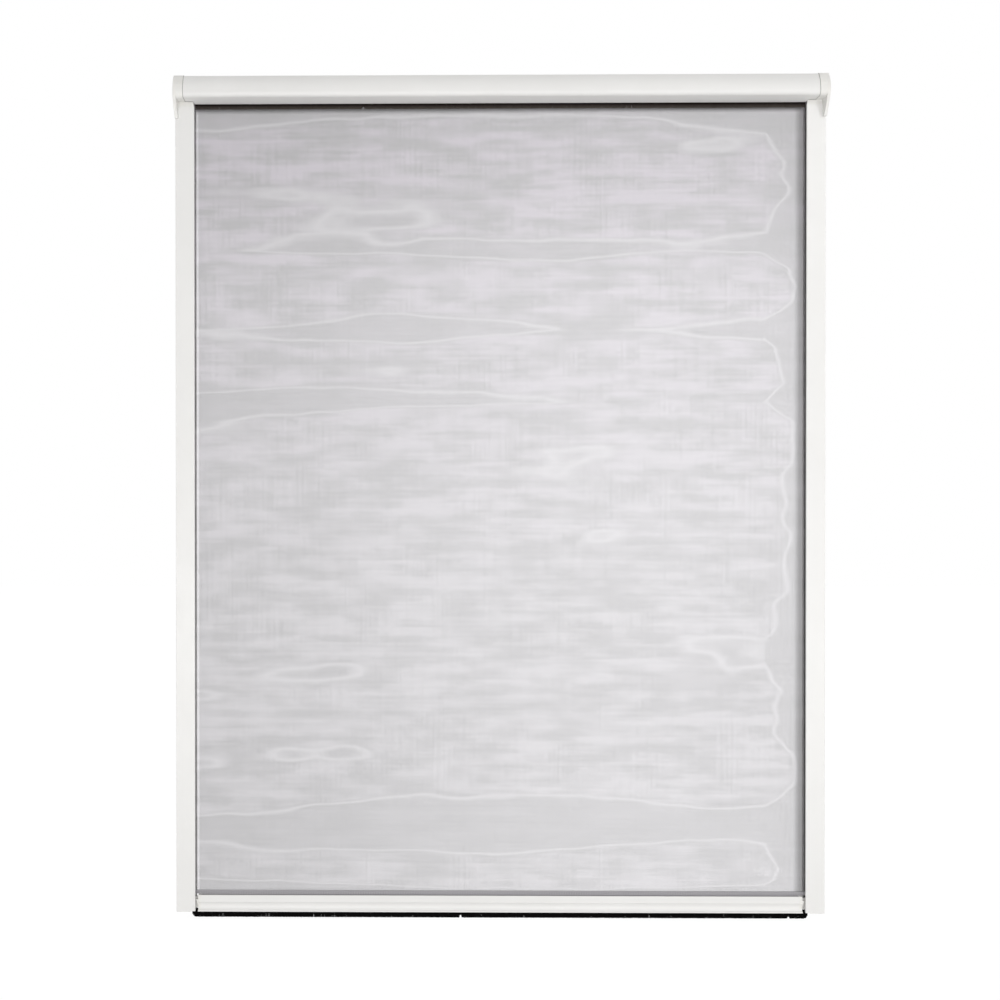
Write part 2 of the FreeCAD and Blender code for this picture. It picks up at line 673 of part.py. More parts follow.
def make_rail_head():
    """Moulded joint between rail and head box: a flange on the rail's end, a neck and a hollow tongue."""
    body = new_body("rail_head_left", UPRIGHT, -half_width, back_plane - rail_depth, rail_top_z)
    thick = rail_wall + slot_depth + slot_return
    web = rail_wall + chamber_width + rail_wall
    far = rail_depth

    def around_channel(inset, nose):
        return [
            (inset, inset), (rail_width - nose, inset), (rail_width - nose, thick), (web, thick),
            (web, far - thick), (rail_width - nose, far - thick), (rail_width - nose, far), (inset, far),
        ]

    flange = new_sketch(body, "flange_section")
    outline(flange, around_channel(fit_gap, fit_gap))
    pad(body, flange, head_flange)
    neck = new_sketch(body, "neck_section", head_flange)
    outline(neck, around_channel(head_inset, head_nose))
    pad(body, neck, head_height - head_flange - cap_proud)
    tongue = new_sketch(body, "head_tongue_section")
    tongue_outlines(tongue)
    pad(body, tongue, head_tongue, reverse=True)
    return body


def tongue_outlines(sketch):
    """Hollow tongue that fills the rail's chamber with a fitting gap."""
    low = rail_wall + fit_gap
    high = rail_wall + chamber_width - fit_gap
    inside = low + tongue_wall
    box_outline(sketch, low, low, high, rail_depth - low)
    box_outline(sketch, inside, inside, high - tongue_wall, rail_depth - inside)


def make_rail_plug():
    """Moulded foot of a rail: tongue in the chamber, shelf in the channel, and a flange that joins them."""
    flange_z = rail_floor_z - foot_flange
    body = new_body("rail_plug_left", UPRIGHT, -half_width, back_plane - rail_depth, flange_z)
    low = rail_wall + fit_gap
    shelf_end = rail_width - lip_width - fit_gap
    flange = new_sketch(body, "foot_section")
    box_outline(flange, fit_gap, fit_gap, shelf_end, rail_depth)
    pad(body, flange, foot_flange)
    tongue = new_sketch(body, "foot_tongue_section", foot_flange)
    tongue_outlines(tongue)
    pad(body, tongue, plug_tongue)
    shelf = new_sketch(body, "shelf_section", foot_flange)
    web = rail_wall + chamber_width + rail_wall
    box_outline(shelf, web + fit_gap, low, shelf_end, rail_depth - low)
    pad(body, shelf, plug_shelf)
    return body


# Roller: tube, its plugs and what is left of the winding, turning on a fixed shaft and a pin
def turned(name, start_x, path, side=1):
    """A turned piece on the roller axis: the path is in distance from its start, inwards, and radius."""
    body = new_body(name, UPRIGHT, start_x * side, roller_y, roller_z)
    sketch = new_sketch(body, name + "_section")
    outline(sketch, [(size(along) * side, radius) for along, radius in path])
    feature = body.newObject("PartDesign::Revolution", name + "_turned")
    feature.Profile = sketch
    feature.ReferenceAxis = (sketch, ["H_Axis"])
    feature.Angle = 360
    return body


def tube_path(length, outside, inside):
    return [(0, inside), (length, inside), (length, outside), (0, outside)]


def add_square_end(body, outwards):
    """Square key at the end of a turned piece, which stops it from turning in the cap's socket."""
    key = new_sketch(body, body.Name + "_key", plane="YZ_Plane")
    box_outline(key, -shaft_key, -shaft_key, shaft_key, shaft_key)
    pad(body, key, key_length, reverse=outwards < 0)


tube_bore = tube_radius - tube_wall
hub_face = -box_end_x - (hub_gap - tube_end_gap)
key_length = socket_depth - fit_gap
anchor_start = -tube_end_x + plug_length + hub_gap
spring_start = anchor_start + anchor_length
driver_start = spring_start + spring_length + run_gap


def make_roller():
    mesh_end = rail_edge_x + mesh_inset
    pieces = [
        turned("roller_tube", -tube_end_x, tube_path(tube_end_x * 2, tube_radius, tube_bore)),
        turned("mesh_winding", -mesh_end, tube_path(mesh_end * 2, winding_radius, tube_radius)),
    ]
    start = -tube_end_x - plug_flange
    for name, core, side in (("tube_plug_left", shaft_radius, 1), ("tube_plug_right", pin_radius, -1)):
        bore = core + bearing_gap
        pieces.append(turned(name, start, [
            (0, bore), (plug_length, bore), (plug_length, tube_bore), (plug_flange, tube_bore),
            (plug_flange, tube_radius), (0, tube_radius),
        ], side))
    bore = shaft_radius + bearing_gap
    pieces.append(turned("spring_driver", driver_start, tube_path(drive_length, tube_bore, bore)))
    return pieces


def make_spring_set():
    """Fixed shaft with the collar and the close-wound spring on it, and the idler pin at the other end."""
    shaft_end = driver_start + drive_length + hub_gap
    shaft_span = shaft_end - hub_face
    shaft = turned("spring_shaft", hub_face, tube_path(shaft_span, shaft_radius, 0))
    add_square_end(shaft, -1)
    nose = spring_radius - spring_wire - key_gap
    sleeve_end = anchor_length + anchor_sleeve
    anchor = turned("spring_anchor", anchor_start, [
        (0, shaft_radius), (sleeve_end, shaft_radius), (sleeve_end, nose),
        (anchor_length, nose), (anchor_length, spring_radius), (0, spring_radius),
    ])
    spring = turned(
        "torsion_spring", spring_start, tube_path(spring_length, spring_radius, spring_radius - spring_wire)
    )
    pin = turned("idler_pin", hub_face, tube_path(hub_gap + pin_reach, pin_radius, 0), -1)
    add_square_end(pin, 1)
    return [shaft, anchor, spring, pin]


def make_insect_mesh():
    """The screen cloth, taken as one thin flat sheet from the hem on the pull bar up to the roller."""
    sheet_box = doc.addObject("Part::Box", "insect_mesh")
    sheet_box.Label = "insect_mesh"
    half = rail_edge_x + mesh_inset
    low = bar_top_z + keder_flag + run_gap
    bind(sheet_box, "Length", half * 2)
    bind(sheet_box, "Width", mesh_thick)
    bind(sheet_box, "Height", roller_z - low)
    bind(sheet_box, ".Placement.Base.x", -half)
    bind(sheet_box, ".Placement.Base.y", mesh_y - mesh_thick / 2)
    bind(sheet_box, ".Placement.Base.z", low)
    return sheet_box


# Pull bar: hollow profile with a keder channel on top, a grip hollow and lip in front, and a brush below
channel_top = bar_height - front_rise
keder_low = channel_top - bar_wall - keder_bore
grip_top = bar_height - face_height
lip_tip = bar_front + grip_reach


def bar_front_path():
    """Underside, finger lip, grip hollow and flat front of the pull bar, up to its top."""
    half_lip = grip_lip / 2
    chord = grip_top - grip_lip
    scoop = (chord * chord / 4 + grip_depth * grip_depth) / (grip_depth * 2)
    path = [(bar_back, 0)] + slot_path(mesh_back, size(0), 1)
    path += [
        (lip_tip - half_lip, 0), half_lip, (lip_tip, half_lip), half_lip, (lip_tip - half_lip, grip_lip),
        (bar_front, grip_lip), -scoop, (bar_front, grip_top),
        (bar_front, bar_height - rail_edge), rail_edge, (bar_front - rail_edge, bar_height),
    ]
    return path


def bar_hollow():
    """Corners of the hollow inside the pull bar, low and high."""
    low = slot_return + slot_depth + bar_wall
    high = keder_low - keder_bore - bar_wall
    return bar_back + bar_wall, low, bar_front - grip_depth - bar_wall, high


def make_pull_bar():
    body = new_body("pull_bar", ACROSS, size(0), back_plane, sill_pile)
    section = new_sketch(body, "bar_section")
    slit = keder_mouth / 2
    rise = keder_low + root(keder_bore * keder_bore - slit * slit)
    path = bar_front_path()
    path += [
        (bar_front - bar_wall, bar_height), (bar_front - bar_wall, channel_top),
        (mesh_back + slit, channel_top), (mesh_back + slit, rise), -keder_bore,
        (mesh_back, keder_low - keder_bore), -keder_bore, (mesh_back - slit, rise),
        (mesh_back - slit, channel_top), (bar_back, channel_top),
    ]
    outline(section, path)
    box_outline(section, *bar_hollow())
    pad(body, section, (bar_end_x - end_width) * 2, both_ways=True)
    return body


def make_keder_strip():
    """Woven hem, as wide as the mesh, on a rod that slides into the bar's keder channel."""
    body = new_body("keder_strip", ACROSS, size(0), back_plane, sill_pile)
    section = new_sketch(body, "keder_section")
    half = keder_thick / 2
    rise = keder_low + root(keder_radius * keder_radius - half * half)
    top = bar_height + keder_flag
    outline(section, [
        (mesh_back - half, top), (mesh_back - half, rise), keder_radius,
        (mesh_back, keder_low - keder_radius), keder_radius, (mesh_back + half, rise),
        (mesh_back + half, top),
    ])
    pad(body, section, (bar_end_x - end_width) * 2, both_ways=True)
    flag = new_sketch(body, "hem_section")
    box_outline(flag, mesh_back - half, bar_height + run_gap, mesh_back + half, top)
    pad(body, flag, (rail_edge_x + mesh_inset) * 2, both_ways=True)
    return body


def make_bar_end():
    """Moulded end piece: plate on the profile's end, tongue inside it, fin and guide shoe in the rail."""
    body = new_body("bar_end_left", ACROSS, -(bar_end_x - end_width), back_plane, sill_pile)
    plate = new_sketch(body, "end_section")
    outline(plate, bar_front_path() + [(bar_back, bar_height)])
    pad(body, plate, end_width)
    tongue = new_sketch(body, "end_tongue_section")
    x_low, y_low, x_high, y_high = bar_hollow()
    box_outline(tongue, x_low + fit_gap, y_low + fit_gap, x_high - fit_gap, y_high - fit_gap)
    wall = fit_gap + bar_wall
    box_outline(tongue, x_low + wall, y_low + wall, x_high - wall, y_high - wall)
    pad(body, tongue, end_tongue, reverse=True)
    shoe_low = bar_lift + plug_shelf + run_gap
    shoe_start = end_width + bar_gap + lip_width + run_gap
    fin = new_sketch(body, "fin_section", end_width)
    half = fin_thick / 2
    box_outline(fin, mesh_back - half, shoe_low, mesh_back + half, shoe_low + fin_height)
    pad(body, fin, shoe_start - end_width + shoe_width / 2)
    shoe = new_sketch(body, "shoe_section", shoe_start)
    front = mesh_back + shoe_depth / 2
    back = mesh_back - shoe_depth / 2
    corner = fin_thick / 2
    outline(shoe, [
        (back + corner, shoe_low), (front - corner, shoe_low), corner, (front, shoe_low + corner),
        (front, shoe_low + fin_height - corner), corner, (front - corner, shoe_low + fin_height),
        (back + corner, shoe_low + fin_height), corner, (back, shoe_low + fin_height - corner),
        (back, shoe_low + corner), corner,
    ])
    pad(body, shoe, shoe_width)
    nose = new_sketch(body, "nose_section", bar_front - fin_thick, plane="YZ_Plane")
    nose_high = bar_height - nose_top
    outline(nose, [
        (nose_high - nose_height, end_width), (nose_high, end_width),
        (nose_high, end_width + bar_gap - run_gap),
    ])
    pad(body, nose, fin_thick - rail_edge)
    return body


cap = make_end_cap()
rail = make_guide_rail()
front_brush = rail_brush("rail_brush_front_left", UPRIGHT, rail_depth - rail_wall)
back_brush = rail_brush("rail_brush_back_left", HALF_TURN, rail_wall)
rail_head = make_rail_head()
rail_plug = make_rail_plug()
bar_end = make_bar_end()
lip_slot_z = box_floor_z - lip_drop + slot_return + slot_depth
bar_slot_z = sill_pile + slot_return + slot_depth
pieces = [
    make_head_box(), cap, mirrored("end_cap_right", cap), make_cap_screws(),
    rail, mirrored("guide_rail_right", rail),
    front_brush, mirrored("rail_brush_front_right", front_brush),
    back_brush, mirrored("rail_brush_back_right", back_brush),
    rail_head, mirrored("rail_head_right", rail_head),
    rail_plug, mirrored("rail_plug_right", rail_plug),
    strip(
        "box_brush", ACROSS_DOWN, size(0), back_plane - lip_middle, lip_slot_z,
        (rail_edge_x - run_gap) * 2, box_pile, True,
    ),
    *make_spring_set(), *make_roller(), make_insect_mesh(),
    make_pull_bar(), make_keder_strip(), bar_end, mirrored("bar_end_right", bar_end),
    strip(
        "sill_brush", ACROSS_DOWN, size(0), back_plane - mesh_back, bar_slot_z,
        (rail_edge_x + sill_brush_reach) * 2, sill_pile, True,
    ),
]

doc.recompute()
for item in doc.Objects:
    if {"Invalid", "Error"} & set(item.State):
        raise RuntimeError(f"{item.Label} did not build: {item.State}")
for piece in pieces:
    if piece.Shape.isNull() or not piece.Shape.isValid():
        raise RuntimeError(f"{piece.Label} has no valid shape")

os.makedirs(PARTS, exist_ok=True)
for piece in pieces:
    piece.Shape.exportStep(os.path.join(PARTS, piece.Label + ".step"))
print(f"{len(pieces)} pieces, travel of the pull bar {bar_travel.value:.1f}, "
      f"roller axis at y {roller_y.value:.3f} z {roller_z.value:.3f}")
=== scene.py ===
"""Looks of the roller insect screen: coats, mouldings, woven mesh, pile brushes, stage, lights and camera."""
import json
import math
import bmesh
import bpy
import numpy as np
from mathutils import Matrix, Vector


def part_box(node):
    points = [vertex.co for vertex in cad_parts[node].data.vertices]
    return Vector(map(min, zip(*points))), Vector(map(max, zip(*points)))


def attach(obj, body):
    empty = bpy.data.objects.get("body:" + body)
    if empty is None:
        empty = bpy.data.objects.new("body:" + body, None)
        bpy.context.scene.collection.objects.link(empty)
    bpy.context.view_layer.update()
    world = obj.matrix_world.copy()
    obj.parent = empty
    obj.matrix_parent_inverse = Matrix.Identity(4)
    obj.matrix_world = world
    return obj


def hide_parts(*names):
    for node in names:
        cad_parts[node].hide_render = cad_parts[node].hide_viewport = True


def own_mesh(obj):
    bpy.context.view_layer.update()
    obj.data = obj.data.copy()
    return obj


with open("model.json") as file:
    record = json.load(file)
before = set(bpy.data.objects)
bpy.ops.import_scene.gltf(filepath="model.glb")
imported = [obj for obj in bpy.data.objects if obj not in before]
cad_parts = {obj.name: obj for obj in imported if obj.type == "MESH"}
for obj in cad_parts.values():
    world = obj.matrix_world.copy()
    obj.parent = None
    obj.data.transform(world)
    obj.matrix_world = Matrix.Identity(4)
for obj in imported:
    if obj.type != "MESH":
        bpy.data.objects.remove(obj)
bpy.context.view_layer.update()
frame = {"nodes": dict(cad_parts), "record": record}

nodes = frame["nodes"]


# The camera stands two metres in front of the screen, a little left of its middle and at the height of its
# middle. The photograph is a crop, so the lens is shifted by that little.
camera = bpy.data.objects.new("camera", bpy.data.cameras.new("camera"))
bpy.context.scene.collection.objects.link(camera)
camera.data.sensor_width = 36.0
camera.data.lens = 46.72
camera.data.shift_x = 0.0992
camera.location = (-0.130, -2.0, 0.6616)
yaw, pitch, roll = math.radians(-0.641), math.radians(-0.369), math.radians(0.024)
ahead = Vector((math.sin(yaw) * math.cos(pitch), math.cos(yaw) * math.cos(pitch), math.sin(pitch)))
camera.rotation_euler = (ahead.to_track_quat("-Z", "Y").to_matrix() @ Matrix.Rotation(-roll, 3, "Z")).to_euler()
bpy.context.scene.camera = camera


# White floor under the bottom brush, seen nearly white by the camera. Floor and card show from their upper
# or front side only, so that the underside and the back can be looked at.
def new_material(name, base, roughness, metallic=0.0):
    """A material with a Principled shader whose plain values are set on it, its node tree and that shader."""
    material = bpy.data.materials.new(name)
    material.use_nodes = True
    tree = material.node_tree
    shader = tree.nodes["Principled BSDF"]
    shader.inputs["Base Color"].default_value = (*base, 1.0)
    shader.inputs["Roughness"].default_value = roughness
    shader.inputs["Metallic"].default_value = metallic
    return material, tree, shader


def reckon(tree, operation, *values):
    """A Math node on those values, each a number or another node's output."""
    node = tree.nodes.new("ShaderNodeMath")
    node.operation = operation
    for socket, value in zip(node.inputs, values):
        if isinstance(value, (int, float)):
            socket.default_value = value
        else:
            tree.links.new(value, socket)
    return node.outputs[0]


def new_group(name, inputs, outputs):
    """A node group with those sockets, given as (name, kind) pairs, and its input and output nodes."""
    group = bpy.data.node_groups.new(name, "ShaderNodeTree")
    for way, sockets in (("INPUT", inputs), ("OUTPUT", outputs)):
        for socket, kind in sockets:
            group.interface.new_socket(socket, in_out=way, socket_type="NodeSocket" + kind)
    return group, group.nodes.new("NodeGroupInput"), group.nodes.new("NodeGroupOutput")


def use_group(tree, group, **values):
    """That group's node in a tree, with the named inputs set or linked."""
    node = tree.nodes.new("ShaderNodeGroup")
    node.node_tree = group
    for name, value in values.items():
        if isinstance(value, bpy.types.NodeSocket):
            tree.links.new(value, node.inputs[name])
        else:
            node.inputs[name].default_value = value
    return node


# Seen is 1 for camera, mirror and see-through rays, and 0 for the rays that carry light.
seen_group, _, group_out = new_group("seen_directly", [], [("Seen", "Float")])
path = seen_group.nodes.new("ShaderNodeLightPath")
seen = reckon(seen_group, "MAXIMUM", path.outputs["Is Camera Ray"], path.outputs["Is Glossy Ray"])
seen = reckon(seen_group, "MAXIMUM", seen, path.outputs["Is Transmission Ray"])
seen_group.links.new(seen, group_out.inputs["Seen"])


def backdrop(name, base, share, strength=1.0, clear_to_light=0.0):
    """A white backdrop that partly glows for the camera and is clear from behind, its tree and that glow."""
    material, tree, shader = new_material(name, base, 0.9)
    glow = tree.nodes.new("ShaderNodeEmission")
    glow.inputs["Color"].default_value = (1.0, 1.0, 1.0, 1.0)
    glow.inputs["Strength"].default_value = strength
    seen = use_group(tree, seen_group).outputs["Seen"]
    mix = tree.nodes.new("ShaderNodeMixShader")
    tree.links.new(reckon(tree, "MULTIPLY", seen, share), mix.inputs["Fac"])
    tree.links.new(shader.outputs["BSDF"], mix.inputs[1])
    tree.links.new(glow.outputs["Emission"], mix.inputs[2])
    clear = tree.nodes.new("ShaderNodeBsdfTransparent")
    side = tree.nodes.new("ShaderNodeNewGeometry")
    facing = tree.nodes.new("ShaderNodeMixShader")
    unseen = reckon(tree, "MULTIPLY", reckon(tree, "SUBTRACT", 1.0, seen), clear_to_light)
    tree.links.new(reckon(tree, "MAXIMUM", side.outputs["Backfacing"], unseen), facing.inputs["Fac"])
    tree.links.new(mix.outputs["Shader"], facing.inputs[1])
    tree.links.new(clear.outputs["BSDF"], facing.inputs[2])
    tree.links.new(facing.outputs["Shader"], tree.nodes["Material Output"].inputs["Surface"])
    return material, tree, glow


def stage_plane(name, matrix, material):
    """A flat stage piece, a unit square taken through that matrix."""
    shape = bmesh.new()
    bmesh.ops.create_grid(shape, x_segments=1, y_segments=1, size=0.5, matrix=matrix)
    mesh = bpy.data.meshes.new(name)
    shape.to_mesh(mesh)
    shape.free()
    plane = bpy.data.objects.new(name, mesh)
    bpy.context.scene.collection.objects.link(plane)
    plane.data.materials.append(material)


floor_side = 14.0
floor_white, _, _ = backdrop("floor_white", (0.95, 0.95, 0.95), 0.92, 1.045)
stage_plane("floor", Matrix.Diagonal((floor_side, floor_side, 1.0, 1.0)), floor_white)


# White card behind the mesh, within the frame's outline, as the wall that the screen hangs on. Its glow holds
# painted light and shade: darker at the upper left, painted soft shadows under the head box and beside the
# right rail, and a thin painted light line at the left rail. It lets the rays that only carry light through,
# so that the back is lit as well.
def spot_of(tree):
    """The outputs X, Y and Z of the place on the object, in its own coordinates."""
    place = tree.nodes.new("ShaderNodeTexCoord")
    split = tree.nodes.new("ShaderNodeSeparateXYZ")
    tree.links.new(place.outputs["Object"], split.inputs["Vector"])
    return split.outputs


def ramp(tree, value, start, end, low=0.0, high=1.0, kind="LINEAR"):
    """A value that goes from low to high while the given one goes from start to end."""
    node = tree.nodes.new("ShaderNodeMapRange")
    node.interpolation_type = kind
    for name, number in (("From Min", start), ("From Max", end), ("To Min", low), ("To Max", high)):
        node.inputs[name].default_value = number
    tree.links.new(value, node.inputs["Value"])
    return node.outputs["Result"]


card_white, tree, glow = backdrop("card_white", (0.92, 0.91, 0.93), 0.6, clear_to_light=1.0)
glow.inputs["Color"].default_value = (0.992, 0.984, 1.0, 1.0)
card_spot = spot_of(tree)
# The glow strength carries painted light and shade: each ramp below darkens or lightens it towards one side or
# edge.
card_glow_with_painted_shade = 1.47
for axis, start, end, share in (
    ("X", -0.45, 0.30, 0.74), ("Z", 1.25, 0.92, 0.78), ("Z", 0.05, 0.35, 1.04), ("X", 0.469, 0.4565, 0.36),
    ("Z", 1.2572, 1.2492, 0.1), ("X", -0.469, -0.467, 1.5),
):
    shade = ramp(tree, card_spot[axis], start, end, low=share, kind="SMOOTHSTEP")
    card_glow_with_painted_shade = reckon(tree, "MULTIPLY", shade, card_glow_with_painted_shade)
tree.links.new(card_glow_with_painted_shade, glow.inputs["Strength"])
card_middle = Matrix.Translation((0.0, 0.0245, 0.6475))
card_size = Matrix.Diagonal((0.97, 1.265, 1.0, 1.0))
stage_plane("card", card_middle @ Matrix.Rotation(math.radians(90), 4, "X") @ card_size, card_white)

# Even light from all round, and plain white where a camera, mirror or see-through ray looks past the screen.
world = bpy.data.worlds.new("studio")
bpy.context.scene.world = world
world.use_nodes = True
tree = world.node_tree
ambient = tree.nodes["Background"]
ambient.inputs["Color"].default_value = (1.0, 0.995, 0.985, 1.0)
ambient.inputs["Strength"].default_value = 0.58
plain = tree.nodes.new("ShaderNodeBackground")
plain.inputs["Color"].default_value = (1.0, 1.0, 1.0, 1.0)
plain.inputs["Strength"].default_value = 1.0
mix = tree.nodes.new("ShaderNodeMixShader")
tree.links.new(use_group(tree, seen_group).outputs["Seen"], mix.inputs["Fac"])
tree.links.new(ambient.outputs["Background"], mix.inputs[1])
tree.links.new(plain.outputs["Background"], mix.inputs[2])
tree.links.new(mix.outputs["Shader"], tree.nodes["World Output"].inputs["Surface"])

# A softbox in front on the right, and a low wide one that lifts the undersides.
lamp_target = Vector((0.0, 0.0, 0.4))
for name, place, width, height, power, tint in (
    ("key_softbox", (1.6, -2.4, 1.8), 0.8, 1.2, 15.0, (1.0, 0.995, 0.985)),
    ("low_softbox", (0.0, -2.0, 0.16), 2.2, 0.24, 16.5, (1.0, 0.99, 0.975)),
):
    lamp = bpy.data.lights.new(name, "AREA")
    lamp.shape = "RECTANGLE"
    lamp.size = width
    lamp.size_y = height
    lamp.energy = power
    lamp.color = tint
    softbox = bpy.data.objects.new(name, lamp)
    softbox.location = place
    softbox.rotation_euler = (lamp_target - softbox.location).to_track_quat("-Z", "Y").to_euler()
    bpy.context.scene.collection.objects.link(softbox)

bpy.context.scene.view_settings.view_transform = "Standard"


# Head box, guide rails and pull bar: aluminium profiles in a white semi-gloss powder coat. The coat has a
# fine orange peel and is a touch duller where hands and brushes rub it.
grain_group, group_in, group_out = new_group(
    "grain",
    [("Stretch", "Vector"), ("Scale", "Float"), ("Detail", "Float"), ("Low", "Float"), ("High", "Float")],
    [("Value", "Float")],
)
place = grain_group.nodes.new("ShaderNodeTexCoord")
scaled = grain_group.nodes.new("ShaderNodeVectorMath")
scaled.operation = "MULTIPLY"
noise = grain_group.nodes.new("ShaderNodeTexNoise")
spread = grain_group.nodes.new("ShaderNodeMapRange")
spread.inputs["From Min"].default_value = 0.3
spread.inputs["From Max"].default_value = 0.7
for source_socket, socket in (
    (place.outputs["Object"], scaled.inputs[0]), (group_in.outputs["Stretch"], scaled.inputs[1]),
    (scaled.outputs["Vector"], noise.inputs["Vector"]), (group_in.outputs["Scale"], noise.inputs["Scale"]),
    (group_in.outputs["Detail"], noise.inputs["Detail"]), (noise.outputs["Fac"], spread.inputs["Value"]),
    (group_in.outputs["Low"], spread.inputs["To Min"]), (group_in.outputs["High"], spread.inputs["To Max"]),
    (spread.outputs["Result"], group_out.inputs["Value"]),
):
    grain_group.links.new(source_socket, socket)


def grain(tree, scale, low, high, stretch=(1.0, 1.0, 1.0), detail=3.0):
    """Noise in the object's own coordinates, spread to a range of values."""
    return use_group(
        tree, grain_group, Stretch=stretch, Scale=scale, Detail=detail, Low=low, High=high
    ).outputs["Value"]


def relief(tree, shader, height, distance, strength=1.0):
    """Bumps of that depth in metres on the shader's surface."""
    bump = tree.nodes.new("ShaderNodeBump")
    bump.inputs["Distance"].default_value = distance
    bump.inputs["Strength"].default_value = strength
    tree.links.new(height, bump.inputs["Height"])
    tree.links.new(bump.outputs["Normal"], shader.inputs["Normal"])


def blend(tree, amount, one, other):
    """Colour between two colours, by the amount; a colour is three numbers or another node's output."""
    node = tree.nodes.new("ShaderNodeMix")
    node.data_type = "RGBA"
    for socket, value in ((node.inputs[6], one), (node.inputs[7], other)):
        if isinstance(value, tuple):
            socket.default_value = (*value, 1.0)
        else:
            tree.links.new(value, socket)
    tree.links.new(amount, node.inputs[0])
    return node.outputs[2]


def two_tone(tree, shader, amount, one, other):
    """Base colour between two colours, by the amount."""
    tree.links.new(blend(tree, amount, one, other), shader.inputs["Base Color"])


white_coat, tree, shader = new_material("white_coat", (0.8, 0.797, 0.788), 0.36)
two_tone(tree, shader, grain(tree, 9.0, 0.0, 1.0), (0.79, 0.787, 0.777), (0.812, 0.81, 0.802))
tree.links.new(grain(tree, 40.0, 0.33, 0.42), shader.inputs["Roughness"])
relief(tree, shader, grain(tree, 700.0, 0.0, 1.0, detail=1.0), 0.00004, 0.5)

# Mouldings: end caps, rail heads and feet, bar ends and the inner parts of the roller, in a slightly warmer
# satin plastic.
white_plastic, tree, shader = new_material("white_plastic", (0.8, 0.795, 0.77), 0.46)
two_tone(tree, shader, grain(tree, 60.0, 0.0, 1.0), (0.79, 0.783, 0.758), (0.81, 0.805, 0.785))
tree.links.new(grain(tree, 90.0, 0.42, 0.52), shader.inputs["Roughness"])
relief(tree, shader, grain(tree, 2400.0, 0.0, 1.0, detail=2.0), 0.00002, 0.5)

# The end caps are of the same plastic, with a thin dark line of painted shade in their joint
# with the head box.
cap_plastic = white_plastic.copy()
cap_plastic.name = "cap_plastic"
tree = cap_plastic.node_tree
shader = tree.nodes["Principled BSDF"]
clean = shader.inputs["Base Color"].links[0].from_socket
half_line = 0.0004
joint_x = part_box("head_box")[1].x + half_line
# Painted shade: a dark line where the gap between cap and head box lies in shadow.
painted_joint_shade = reckon(tree, "COMPARE", reckon(tree, "ABSOLUTE", spot_of(tree)["X"]), joint_x, half_line)
two_tone(tree, shader, painted_joint_shade, clean, (0.3, 0.3, 0.29))

# Turned and drawn metal: zinc-plated screws, shaft and pin, and the mill-finish tube with its drawing lines.
zinc, tree, shader = new_material("zinc", (0.62, 0.63, 0.65), 0.32, 1.0)
two_tone(tree, shader, grain(tree, 300.0, 0.0, 1.0), (0.56, 0.57, 0.6), (0.68, 0.68, 0.67))
tree.links.new(grain(tree, 800.0, 0.26, 0.42, stretch=(4.0, 1.0, 1.0)), shader.inputs["Roughness"])
drawn_tube, tree, shader = new_material("drawn_tube", (0.75, 0.76, 0.77), 0.34, 1.0)
tree.links.new(grain(tree, 500.0, 0.26, 0.46, stretch=(0.02, 1.0, 1.0)), shader.inputs["Roughness"])
relief(tree, shader, grain(tree, 900.0, 0.0, 1.0, stretch=(0.01, 1.0, 1.0)), 0.00002, 0.6)
spring_wire, tree, shader = new_material("spring_wire", (0.2, 0.2, 0.22), 0.4, 1.0)
two_tone(tree, shader, grain(tree, 200.0, 0.0, 1.0), (0.16, 0.16, 0.18), (0.26, 0.25, 0.26))

# Each rigid piece takes the finish of its kind, shaded smooth with crisp edges.
crisp_angle = math.radians(28)
finishes = {
    "white_profile": white_coat, "white_moulding": white_plastic, "zinc_steel": zinc,
    "bare_aluminium": drawn_tube, "spring_steel": spring_wire,
}
for row in frame["record"]["subparts"]:
    node = nodes[row["node"]]
    node.data.shade_smooth()
    node.data.set_sharp_from_angle(angle=crisp_angle)
    finish = cap_plastic if row["node"].startswith("end_cap") else finishes.get(row["material_slot"])
    if finish:
        node.data.materials.clear()
        node.data.materials.append(finish)


# Insect mesh: coated glass-fibre threads woven square, twenty to the inch, that wander a little. It hangs
# from the back of the roller to the pull bar's hem.
def strand(length, thick, parts):
    """One square thread along X from 0 to length, cut into parts so that it can wander."""
    shape = bmesh.new()
    bmesh.ops.create_cube(
        shape, size=1.0,
        matrix=Matrix.Translation((length / 2, 0.0, 0.0)) @ Matrix.Diagonal((length, thick, thick, 1.0)),
    )
    lengthwise = [edge for edge in shape.edges if abs(edge.verts[0].co.x - edge.verts[1].co.x) > length / 2]
    bmesh.ops.subdivide_edges(shape, edges=lengthwise, cuts=parts - 1)
    return shape


def repeated(name, shape, count, offset):
    """A mesh with that many copies of a shape, each moved by the offset from the last."""
    mesh = bpy.data.meshes.new(name)
    shape.to_mesh(mesh)
    shape.free()
    carrier = bpy.data.objects.new(name + "_carrier", mesh)
    bpy.context.scene.collection.objects.link(carrier)
    array = carrier.modifiers.new("rows", "ARRAY")
    array.use_relative_offset = False
    array.use_constant_offset = True
    array.constant_offset_displace = offset
    array.count = count
    result = bpy.data.meshes.new_from_object(carrier.evaluated_get(bpy.context.evaluated_depsgraph_get()))
    bpy.data.objects.remove(carrier)
    return result


def corners(mesh):
    """The places of a mesh's vertices, one row each."""
    spots = np.empty(len(mesh.vertices) * 3)
    mesh.vertices.foreach_get("co", spots)
    return spots.reshape(-1, 3)


def waves(across, along, seed, count, shortest, longest):
    """Smooth wandering between about -1 and 1 over a surface, as a sum of sine waves, in metres."""
    dice = np.random.default_rng(seed)
    total = np.zeros_like(across)
    for _ in range(count):
        reach = math.exp(dice.uniform(math.log(shortest[0]), math.log(longest[0])))
        rise = math.exp(dice.uniform(math.log(shortest[1]), math.log(longest[1])))
        way = dice.choice((-1.0, 1.0))
        total += np.sin(math.tau * (across / reach + along / rise * way + dice.uniform(0.0, 1.0)))
    return total / math.sqrt(count)


